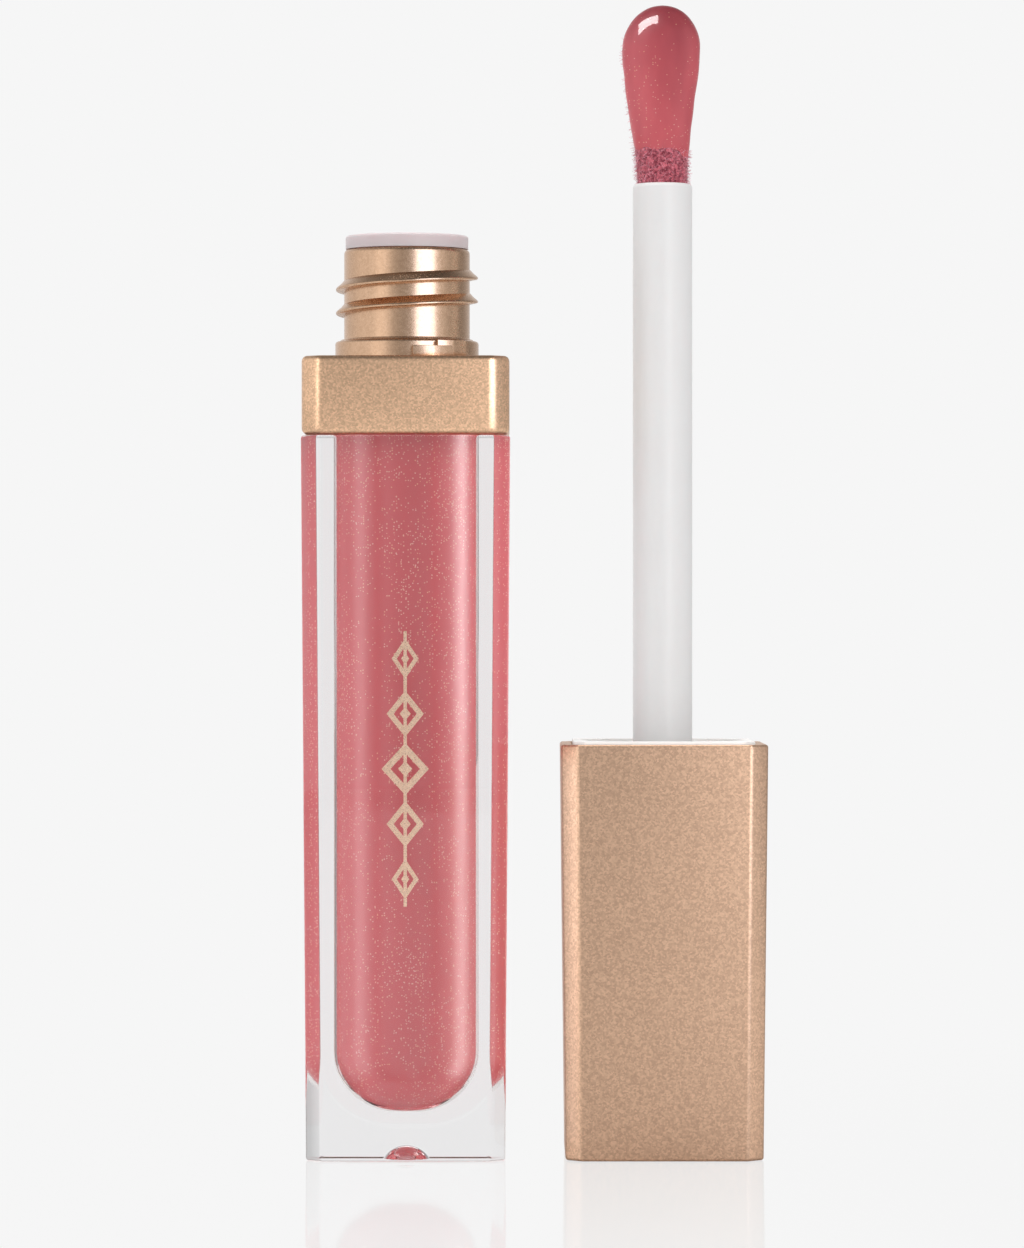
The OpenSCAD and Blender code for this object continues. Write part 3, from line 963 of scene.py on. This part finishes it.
def makeFloor():
    # a faint mirror to the camera that fades away from the object, and a pale table to everything else
    startPiece()
    bpy.ops.mesh.primitive_circle_add(vertices=128, radius=0.9, location=(0, 0, -hair), fill_type='NGON')
    made = bpy.context.object
    made.name = "studioFloor"
    place()
    material, tree, shader = newMaterial("paleFloor")
    feed(tree, shader, Base_Color=(0.84, 0.84, 0.84, 1), Roughness=0.5)
    away = tree.nodes.new('ShaderNodeVectorMath')
    away.operation = 'LENGTH'
    drive(tree, away.inputs[0], objectCoords(tree))
    fade = newNode(tree, 'ShaderNodeMapRange', Value=away.outputs["Value"], From_Min=0.02, From_Max=0.16,
                   To_Min=0.22, To_Max=0.0)
    sheen = newNode(tree, 'ShaderNodeBsdfGlossy', Color=(1, 1, 1, 1), Roughness=0.06)
    faint = mixShaders(tree, fade.outputs["Result"], tree.nodes.new('ShaderNodeBsdfTransparent'), sheen)
    path = tree.nodes.new('ShaderNodeLightPath')
    showMix(tree, path.outputs["Is Camera Ray"], shader, faint)
    made.data.materials.append(material)
    return made


def makeWorld():
    # brightness of the room by compass direction, starting and ending behind the object
    around = [(0, 0.92), (58, 0.85), (90, 1.05), (133, 1.05), (158, 0.62), (171, 0.46), (182, 0.46),
              (196, 0.55), (235, 0.80), (248, 0.85), (270, 0.50), (302, 0.33), (360, 0.92)]
    world = bpy.data.worlds.new("paleRoom")
    bpy.context.scene.world = world
    world.use_nodes = True
    tree = world.node_tree
    coords = tree.nodes.new('ShaderNodeTexCoord')
    split = newNode(tree, 'ShaderNodeSeparateXYZ', Vector=coords.outputs["Generated"]).outputs
    front = calculate(tree, 'MULTIPLY', split["Y"], -1)
    compass = calculate(tree, 'ARCTAN2', split["X"], front)
    turn = newNode(tree, 'ShaderNodeMapRange', Value=compass, From_Min=-pi, From_Max=pi)
    walls = newNode(tree, 'ShaderNodeValToRGB', Fac=turn.outputs["Result"])
    stops = walls.color_ramp.elements
    while len(stops) < len(around):
        stops.new(0.5)
    for stop, (compassDegrees, bright) in zip(stops, around):
        stop.position = compassDegrees / 360
        stop.color = (bright, bright, bright, 1)
    ceiling = newNode(tree, 'ShaderNodeMapRange', Value=split["Z"], From_Min=0.35, From_Max=0.85,
                      To_Min=1.0, To_Max=0.28)
    room = feed(tree, tree.nodes["Background"], Color=walls.outputs["Color"],
                Strength=ceiling.outputs["Result"])
    # plain backdrop for the camera, also straight through the clear wall
    backdrop = newNode(tree, 'ShaderNodeBackground', Color=(1, 1, 1, 1), Strength=0.922)
    path = tree.nodes.new('ShaderNodeLightPath').outputs
    behind = newNode(tree, 'ShaderNodeMapRange', Value=split["Y"], From_Min=0.86, From_Max=0.95)
    through = calculate(tree, 'MULTIPLY', path["Is Transmission Ray"], behind.outputs["Result"])
    seen = calculate(tree, 'MAXIMUM', path["Is Camera Ray"], through)
    showMix(tree, seen, room, backdrop, "World Output")


def makeCard():
    # glowing card standing between the bottle and the cap, seen only in reflections: a painted reflection, so
    # that the cap's corner shows its pale glow and doesn't pick up the pink
    startPiece()
    centre, height, depth = (10.9 * mm, -1.5 * mm, 18.5 * mm), 35 * mm, 22 * mm
    bpy.ops.mesh.primitive_plane_add(size=1, location=centre, rotation=(0, pi / 2, 0))
    made = bpy.context.object
    made.name = "bounceCard"
    made.scale = (height, depth, 1)
    place()
    material, tree, shader = newMaterial("cardGlow")
    split = newNode(tree, 'ShaderNodeSeparateXYZ', Vector=objectCoords(tree))
    glow = newNode(tree, 'ShaderNodeMapRange', Value=split.outputs["Y"], From_Min=-9.4 * mm,
                   From_Max=-8.6 * mm, To_Min=1.9, To_Max=0.7)
    # painted reflection: the card is no lamp but glows, brighter along its front edge, for the cap's corner
    # to mirror
    feed(tree, shader, Base_Color=(0, 0, 0, 1), Emission_Color=(1.0, 1.0, 1.08, 1),
         Emission_Strength=glow.outputs["Result"])
    # seen only from close by on the cap's side, so never in the floor
    path, side = tree.nodes.new('ShaderNodeLightPath'), tree.nodes.new('ShaderNodeNewGeometry')
    far = calculate(tree, 'GREATER_THAN', path.outputs["Ray Length"], 4.5 * mm)
    away = calculate(tree, 'MAXIMUM', far, side.outputs["Backfacing"])
    showMix(tree, away, shader, tree.nodes.new('ShaderNodeBsdfTransparent'))
    made.data.materials.append(material)
    made.visible_camera = made.visible_diffuse = made.visible_transmission = made.visible_shadow = False
    return made


floor = makeFloor()
makeWorld()
card = makeCard()
everything = [piece for piece in bpy.context.scene.objects if piece.type == 'MESH' and piece != card]
for piece in (glossBody, clearBlock):
    piece.visible_diffuse = False


def makeSet(name, *pieces):
    # set of pieces that a lamp lights, or that can shade it
    made = bpy.data.collections.new(name)
    for piece in pieces:
        made.objects.link(piece)
    return made


def allBut(name, *left):
    return makeSet(name, *[piece for piece in everything if piece not in left])


glossOnly = makeSet("glossOnly", glossBody)
neckOnly = makeSet("neckOnly", threadedNeck)
goldFaces = makeSet("goldFaces", goldCollar, goldCap)
tipOnly = makeSet("tipOnly", glossCoat)
capOnly = makeSet("capOnly", goldCap)
rimOnly = makeSet("rimOnly", whiteInnerCap)
floorOnly = makeSet("floorOnly", floor)
collarShade = makeSet("collarShade", goldCollar)
mostly = allBut("mostly", glossBody, clearBlock, threadedNeck, glossCoat, floor)
fromAbove = allBut("fromAbove", threadedNeck, glossCoat, goldCollar)
allButTip = allBut("allButTip", glossCoat, floor)

white = (1, 1, 1)
middle = (0.010, 0, 0.05)
tipMiddle = (0.0218, 0, 0.1018)
lamps = [
    {"name": "frontRight", "at": (0.23, -0.44, 0.16), "size": (0.12, 0.5), "power": 0.76, "lights": mostly},
    {"name": "neckRight", "at": (0.285, -0.40, 0.16), "size": (0.32, 0.5), "power": 1.6, "lights": neckOnly,
     "colour": (0.78, 0.92, 1.2)},
    {"name": "frontLeft", "at": (-0.36, -0.36, 0.2), "size": (0.25, 0.5), "power": 0.15, "lights": allButTip},
    {"name": "edgeRight", "at": (0.37, -0.36, 0.04), "size": (0.22, 0.5), "power": 1.25, "lights": goldFaces,
     "colour": (0.85, 0.95, 1.15)},
    {"name": "edgeLeft", "at": (-0.36, -0.36, 0.07), "size": (0.05, 0.5), "power": 0.3, "lights": goldFaces},
    {"name": "overhead", "at": (0.0, 0.05, 0.55), "size": (0.5, 0.4), "power": 2.3, "lights": fromAbove},
    {"name": "tableFill", "at": (0.15, -0.45, 0.25), "size": (0.5, 0.5), "power": 0.95, "lights": floorOnly,
     "softOnly": True},
    # strips beside the gloss, which the cap and the wand don't shade
    {"name": "stripRight", "at": (0.49, 0.09, 0.05), "size": (0.17, 0.7), "power": 1.5, "lights": glossOnly,
     "shade": collarShade},
    {"name": "shineRight", "at": (0.48, 0.05, 0.05), "size": (0.26, 0.7), "power": 1.0, "lights": glossOnly,
     "shade": collarShade, "shineOnly": True},
    {"name": "stripLeft", "at": (-0.49, -0.10, 0.05), "size": (0.20, 0.7), "power": 0.3, "lights": glossOnly,
     "shade": collarShade},
    {"name": "shineLeft", "at": (-0.49, -0.10, 0.05), "size": (0.20, 0.7), "power": 0.3, "lights": glossOnly,
     "shade": collarShade, "shineOnly": True},
    {"name": "capLeft", "at": (-0.45, -0.10, 0.05), "size": (0.2, 0.4), "power": 0.35, "lights": capOnly,
     "shade": collarShade},
    {"name": "capRight", "at": (0.45, -0.05, 0.05), "size": (0.2, 0.4), "power": 0.15, "lights": capOnly,
     "shade": collarShade},
    {"name": "rimFill", "at": (0.0218, -0.40, 0.32), "size": (0.3, 0.3), "power": 0.7, "lights": rimOnly,
     "shade": collarShade},
    {"name": "tipSpark", "at": (-0.204, -0.243, 0.475), "aim": tipMiddle, "size": (0.40, 0.19), "turn": 32,
     "power": 5.0, "lights": tipOnly, "shade": collarShade, "shineOnly": True},
]


def makeLamp(settings):
    startPiece()
    bpy.ops.object.light_add(type='AREA', location=settings["at"])
    lamp = bpy.context.object
    lamp.name = settings["name"]
    lamp.data.shape = 'RECTANGLE'
    lamp.data.size, lamp.data.size_y = settings["size"]
    lamp.data.energy = settings["power"]
    lamp.data.color = settings.get("colour", white)
    aim = Vector(settings.get("aim", middle)) - Vector(settings["at"])
    lamp.rotation_euler = aim.to_track_quat('-Z', 'Y').to_euler()
    lamp.rotation_euler.rotate_axis('Z', radians(settings.get("turn", 0)))
    lamp.visible_camera = False
    lamp.visible_diffuse = not settings.get("shineOnly", False)
    lamp.visible_glossy = not settings.get("softOnly", False)
    # strips reach the gloss evenly, although the cap stands in the way of one of them
    lamp.data.cycles.use_multiple_importance_sampling = settings["lights"] != glossOnly
    lamp.light_linking.receiver_collection = settings["lights"]
    if "shade" in settings:
        lamp.light_linking.blocker_collection = settings["shade"]


for lampSettings in lamps:
    makeLamp(lampSettings)

view = {"at": (9.45 * mm, -540 * mm, 47.6 * mm), "sensor": 36, "focal": 6000, "rows": 1248, "nearest": 0.01}
bpy.ops.object.camera_add(location=view["at"], rotation=(pi / 2, 0, 0))
camera = bpy.context.object
camera.data.sensor_fit = 'VERTICAL'
camera.data.sensor_height = view["sensor"]
camera.data.lens = view["sensor"] * view["focal"] / view["rows"]
camera.data.clip_start = view["nearest"]
bpy.context.scene.camera = camera
bpy.context.scene.view_settings.view_transform = 'Standard'
